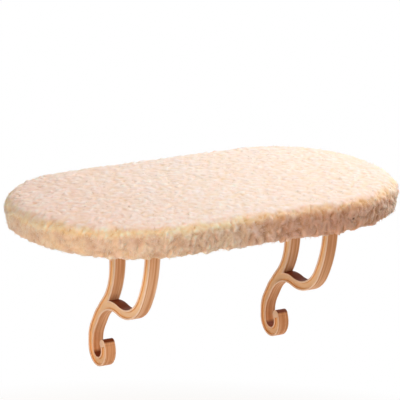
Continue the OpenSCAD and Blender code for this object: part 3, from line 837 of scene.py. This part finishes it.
class PERCH_OT_under_cover(bpy.types.Operator):
    """Makes the foam pad, the hem's elastic and stitches, and finishes the board"""
    bl_idname = "perch.under_cover"
    bl_label = "Pad, board, elastic and stitches"

    def execute(self, context):
        low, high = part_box("foam_pad")
        shelf = context.scene.perch_shelf
        cover_low, cover_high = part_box("fleece_cover")
        inset = cover_high[0] - high[0]
        top = high[2] - shelf.crown
        edge = [(inset + 0.004, low[2]), (inset + 0.0012, low[2] + 0.001), (inset, low[2] + 0.004)]
        edge += rolled(inset, shelf.edge_roll - inset, top)
        points, faces = lofted(spaced(edge, 0.005), 0.005, crowned(top, shelf.crown, shelf.edge_roll),
                               lambda depth: np.full(len(depth), low[2]))
        foam = new_object("foam_slab", points, faces, foam_material(), "shelf")
        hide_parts("foam_pad")
        self.add_elastic(shelf)
        self.add_stitches(shelf)
        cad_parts["shelf_board"].data.materials[0] = board_material()
        return {"FINISHED"}

    def add_elastic(self, shelf):
        low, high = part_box("hem_elastic")
        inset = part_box("fleece_cover")[1][0] - high[0]
        width, middle, tall = 0.004, (low[2] + high[2]) / 2, (high[2] - low[2]) / 2
        section = [(width / 2 * (1 + 0.98 * math.copysign(abs(math.cos(a)) ** 0.6, math.cos(a))),
                    middle + tall * math.copysign(abs(math.sin(a)) ** 0.6, math.sin(a)))
                   for a in (math.tau * k / 12 for k in range(12))]
        ribs = lambda i, u, v: 0.0003 * (i % 2) * (1 - 2 * u / width)
        points, faces = swept_band(inset, section, 0.0013, ribs)
        elastic = new_object("braided_elastic", points, faces, elastic_material(), "shelf")
        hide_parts("hem_elastic")

    def add_stitches(self, shelf, pitch=0.0046, length=0.0032, thickness=0.0007):
        line, normals = plan_outline(pitch, shelf.hem_inset - 0.004)
        points, faces = [], []
        for i in range(len(line)):
            along = Vector((-normals[i][1], normals[i][0], 0))
            across = Vector((*normals[i], 0))
            centre = Vector((*line[i], 0.0001))
            start = len(points)
            for k in range(7):
                t = math.radians(-90 + 30 * k)
                radius = thickness / 2 * max(math.cos(t), 0.05) ** 0.5
                for a in (math.tau * j / 6 for j in range(6)):
                    points.append(centre + length / 2 * math.sin(t) * along
                                  + radius * (math.cos(a) * across + math.sin(a) * Vector((0, 0, 1))))
            faces += tube_faces(start, 7, 6)
        new_object("hem_stitches", points, faces, elastic_material(), "shelf")


# ---- hook and loop tape ----

def tube_faces(start, rings, sides):
    """Quads between the rings of a tube whose points begin at a place in the list."""
    return [(start + k * sides + j, start + k * sides + (j + 1) % sides,
             start + (k + 1) * sides + (j + 1) % sides, start + (k + 1) * sides + j)
            for k in range(rings - 1) for j in range(sides)]


def strip_of(node, name, material, thread, up, base=0.0009, pitch=0.0021, thread_radius=0.00012):
    """A woven base with rows of small threads standing on it. thread(rng) gives one as a list of points
    [along, across, height as a share of the room]."""
    low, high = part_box(node)
    rng = np.random.default_rng(7)
    sign = 1 if up else -1
    near, far = (low[2], high[2]) if up else (high[2], low[2])
    root = near + sign * base
    points, faces = [], []
    nx, ny = 180, 12
    for z, weave in ((near, 0.0), (root, 0.00006)):
        for i in range(nx + 1):
            for j in range(ny + 1):
                points.append((low[0] + (high[0] - low[0]) * i / nx, low[1] + (high[1] - low[1]) * j / ny,
                               z + sign * weave * (-1) ** (i + j)))
    layer = (nx + 1) * (ny + 1)
    at = lambda k, i, j: k * layer + i * (ny + 1) + j
    for i in range(nx):
        for j in range(ny):
            for k in (0, 1):
                quad = (at(k, i, j), at(k, i + 1, j), at(k, i + 1, j + 1), at(k, i, j + 1))
                faces.append(quad if (k == 1) == up else quad[::-1])
    edge = [(i, 0) for i in range(nx)] + [(nx, j) for j in range(ny)]
    edge += [(nx - i, ny) for i in range(nx)] + [(0, ny - j) for j in range(ny)]
    for a, b in zip(edge, edge[1:] + edge[:1]):
        quad = (at(0, *a), at(0, *b), at(1, *b), at(1, *a))
        faces.append(quad if up else quad[::-1])
    for x in np.arange(low[0] + 0.002, high[0] - 0.002, pitch):
        for y in np.arange(low[1] + 0.002, high[1] - 0.002, pitch):
            turn = rng.uniform(0, math.tau)
            c, s = math.cos(turn), math.sin(turn)
            line = [Vector((x + u * c - v * s, y + u * s + v * c, root + w * (far - root)))
                    for u, v, w in thread(rng)]
            start = len(points)
            for k, p in enumerate(line):
                ahead = (line[min(k + 1, len(line) - 1)] - line[max(k - 1, 0)]).normalized()
                side = ahead.orthogonal().normalized()
                other = ahead.cross(side)
                points += [p + thread_radius * (math.cos(a) * side + math.sin(a) * other)
                           for a in (0, math.tau / 3, 2 * math.tau / 3)]
            faces += tube_faces(start, len(line), 3)
    piece = new_object(name, points, faces, material, "shelf")
    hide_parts(node)
    return piece


def hook_thread(_):
    """A hook: straight up, then bent over."""
    return [(0, 0, 0), (0, 0, 0.5), (0.0001, 0, 0.8), (0.0004, 0, 0.93), (0.0007, 0, 0.85), (0.0008, 0, 0.65)]


def loop_thread(rng):
    """A loop of random height."""
    high = rng.uniform(0.7, 0.93)
    return [(-0.0004, 0, 0), (-0.0006, 0, 0.5 * high), (-0.0003, 0.0003, 0.9 * high), (0, 0.0004, high),
            (0.0004, 0.0003, 0.85 * high), (0.0006, 0, 0.4 * high), (0.0003, -0.0002, 0)]


class PERCH_OT_tapes(bpy.types.Operator):
    """Makes the hook and loop strips with their threads"""
    bl_idname = "perch.tapes"
    bl_label = "Hook and loop strips"

    def execute(self, context):
        hooks = tape_material("Nylon hook tape, beige", "#e4d3b4", "#c9b490")
        loops = tape_material("Nylon loop tape, beige", "#eadbc0", "#d2bf9d")
        strip_of("hook_strip", "hook_tape", hooks, hook_thread, True)
        strip_of("loop_strip", "loop_tape", loops, loop_thread, False)
        return {"FINISHED"}


# ---- thumb screws ----

def threaded_stud(node, name, material, body, pitch=0.001, depth=0.0003):
    """A stud with a helical thread and chamfered ends."""
    low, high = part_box(node)
    x, y, r = (low[0] + high[0]) / 2, (low[1] + high[1]) / 2, (high[0] - low[0]) / 2
    sides, chamfer = 24, 0.0008
    rows = int((high[2] - low[2]) / (pitch / 6))
    points = []
    for i in range(rows + 1):
        z = low[2] + (high[2] - low[2]) * i / rows
        end = min(z - low[2], high[2] - z)
        for j in range(sides):
            share = ((z - low[2]) / pitch + j / sides) % 1
            out = r - depth * abs(2 * share - 1) * 1.2
            out = min(out, r - chamfer + end)
            a = -math.tau * j / sides
            points.append((x + out * math.cos(a), y + out * math.sin(a), z))
    faces = [face[::-1] for face in tube_faces(0, rows + 1, sides)]
    faces.append(tuple(range(sides)))
    faces.append(tuple(rows * sides + j for j in reversed(range(sides))))
    stud = new_object(name, points, faces, material, body)
    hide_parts(node)
    return stud


class PERCH_OT_thumb_screws(bpy.types.Operator):
    """Makes the knobs, washers and threaded studs, and finishes the tee nuts"""
    bl_idname = "perch.thumb_screws"
    bl_label = "Thumb screws"

    def execute(self, context):
        zinc, plastic = zinc_material(), knob_material()
        for place in SCREWS:
            softened(f"{place}_knob", f"{place}_lobed_knob", 0.0005, plastic, f"{place}_screw")
            washer = softened(f"{place}_washer", f"{place}_flat_washer", 0.0002, zinc, f"{place}_washer")
            # A hair's gap keeps it clear of the plate that slides over it.
            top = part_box(f"{place}_washer")[1][2] - 0.00003
            for vertex in washer.data.vertices:
                vertex.co.z = min(vertex.co.z, top)
            threaded_stud(f"{place}_stud", f"{place}_threaded_stud", zinc, f"{place}_screw")
            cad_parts[f"{place}_tee_nut"].data.materials[0] = zinc
        return {"FINISHED"}


# ---- stage ----

def direct_ray(tree, path):
    """Whether a ray comes from the camera, a gloss or a clear surface."""
    first = add_node(tree, "Math", {"operation": "MAXIMUM"},
                     {0: path.outputs["Is Camera Ray"], 1: path.outputs["Is Glossy Ray"]}).outputs[0]
    return add_node(tree, "Math", {"operation": "MAXIMUM"},
                    {0: first, 1: path.outputs["Is Transmission Ray"]}).outputs[0]


class PERCH_OT_stage(bpy.types.Operator):
    """Sets the camera, the studio light and the pale floor"""
    bl_idname = "perch.stage"
    bl_label = "Camera, light and floor"

    def execute(self, context):
        stage = context.scene.perch_stage
        self.set_camera(context.scene, stage)
        self.set_world(context.scene)
        self.add_floor(context.scene, stage)
        self.add_lights(context.scene)
        return {"FINISHED"}

    def set_camera(self, scene, stage):
        az, el = stage.azimuth, stage.elevation
        back = Vector((math.sin(az) * math.cos(el), -math.cos(az) * math.cos(el), math.sin(el)))
        right = (-back).cross(Vector((0, 0, 1))).normalized()
        up = right.cross(-back)
        low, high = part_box("fleece_cover")
        anchor = Vector((0, (low[1] + high[1]) / 2, 0.045))
        target = anchor + stage.aim_right * right + stage.aim_up * up
        c, s = math.cos(stage.roll), math.sin(stage.roll)
        right, up = right * c + up * s, up * c - right * s
        data = bpy.data.cameras.new("camera")
        data.lens = stage.lens
        data.sensor_width = 36
        data.clip_start, data.clip_end = 0.1, 60
        camera = bpy.data.objects.new("camera", data)
        turned = Matrix((right, up, back)).transposed().to_4x4()
        camera.matrix_world = Matrix.Translation(target + stage.distance * back) @ turned
        scene.collection.objects.link(camera)
        scene.camera = camera

    def set_world(self, scene):
        scene.view_settings.view_transform = "Standard"
        world = bpy.data.worlds.new("studio")
        scene.world = world
        world.use_nodes = True
        tree = world.node_tree
        tree.nodes.clear()
        path = add_node(tree, "LightPath")
        seen = add_node(tree, "Background", inputs={"Color": (1, 1, 1, 1), "Strength": 1.0})
        lit = add_node(tree, "Background", inputs={"Color": linear("#fff4e8"), "Strength": 0.08})
        mix = add_node(tree, "MixShader", inputs={
            0: direct_ray(tree, path), 1: lit.outputs[0], 2: seen.outputs[0]})
        output = add_node(tree, "OutputWorld")
        tree.links.new(mix.outputs[0], output.inputs["Surface"])

    def add_floor(self, scene, stage):
        # Matt white paint, which runs out into the white background further off.
        material, tree, shader, where = new_material("Studio floor, matt white paint", {
            "Base Color": linear("#f5eee7"), "Roughness": 0.9})
        far = add_node(tree, "VectorMath", {"operation": "LENGTH"}, {0: where}).outputs["Value"]
        share = add_node(tree, "MapRange", inputs={"Value": far, 1: 0.6, 2: 1.3}).outputs[0]
        direct = direct_ray(tree, add_node(tree, "LightPath"))
        seen = add_node(tree, "Math", {"operation": "MULTIPLY"}, {0: share, 1: direct}).outputs[0]
        white = add_node(tree, "Emission", inputs={"Color": (1, 1, 1, 1), "Strength": 1.0})
        mix = add_node(tree, "MixShader", inputs={0: seen, 1: shader.outputs[0], 2: white.outputs[0]})
        output = next(n for n in tree.nodes if n.type == "OUTPUT_MATERIAL")
        tree.links.new(mix.outputs[0], output.inputs["Surface"])
        floor = bpy.data.objects.new("floor", bpy.data.meshes.new("floor"))
        work = bmesh.new()
        bmesh.ops.create_circle(work, cap_ends=True, radius=6, segments=96)
        work.to_mesh(floor.data)
        work.free()
        floor.location.z = -stage.floor_drop
        floor.data.materials.append(material)
        scene.collection.objects.link(floor)

    def add_lights(self, scene):
        for name, place, size, power, colour in (
                ("overhead", (1.2, -0.1, 1.35), 1.2, 37.5, "#fffdfc"),
                ("high left", (-1.4, -1.0, 0.8), 0.7, 12, "#fff4ea"),
                ("left", (-1.7, -1.1, 0.05), 0.6, 8, "#fff8f4"),
                ("low front", (-0.7, -1.85, -0.3), 0.6, 3.9, "#ffece4"),
                ("right", (1.7, 0.1, 0.1), 0.6, 3, "#fff6ee"),
                ("back", (0.2, 1.9, 0.1), 0.6, 9, "#fff4ea")):
            data = bpy.data.lights.new(name, "AREA")
            data.size = size
            data.energy = power
            data.color = linear(colour)[:3]
            light = bpy.data.objects.new(name, data)
            light.location = place
            light.visible_camera = False
            light.rotation_mode = "QUATERNION"
            light.rotation_quaternion = (Vector((0, -0.12, 0)) - Vector(place)).to_track_quat("-Z", "Y")
            scene.collection.objects.link(light)


# ---- panel ----

OPERATORS = (PERCH_OT_fleece_cover, PERCH_OT_under_cover, PERCH_OT_brackets, PERCH_OT_tapes,
             PERCH_OT_thumb_screws, PERCH_OT_stage)


class PERCH_PT_pieces(bpy.types.Panel):
    """Lists what can be built"""
    bl_idname = "PERCH_PT_pieces"
    bl_label = "Window perch"
    bl_space_type = "VIEW_3D"
    bl_region_type = "UI"
    bl_category = "Perch"

    def draw(self, context):
        for operator in OPERATORS:
            self.layout.operator(operator.bl_idname)


GROUPS = {"perch_shelf": PerchShelf, "perch_fleece": PerchFleece, "perch_bracket": PerchBracket,
          "perch_colours": PerchColours, "perch_stage": PerchStage}


def register():
    for group in GROUPS.values():
        bpy.utils.register_class(group)
    for operator in OPERATORS:
        bpy.utils.register_class(operator)
    bpy.utils.register_class(PERCH_PT_pieces)
    for name, group in GROUPS.items():
        setattr(bpy.types.Scene, name, bpy.props.PointerProperty(type=group))


def unregister():
    for name in GROUPS:
        delattr(bpy.types.Scene, name)
    bpy.utils.unregister_class(PERCH_PT_pieces)
    for operator in reversed(OPERATORS):
        bpy.utils.unregister_class(operator)
    for group in reversed(GROUPS.values()):
        bpy.utils.unregister_class(group)


def main():
    register()
    bpy.ops.perch.fleece_cover()
    bpy.ops.perch.under_cover()
    bpy.ops.perch.brackets()
    bpy.ops.perch.tapes()
    bpy.ops.perch.thumb_screws()
    bpy.ops.perch.stage()


if __name__ == "__main__":
    main()
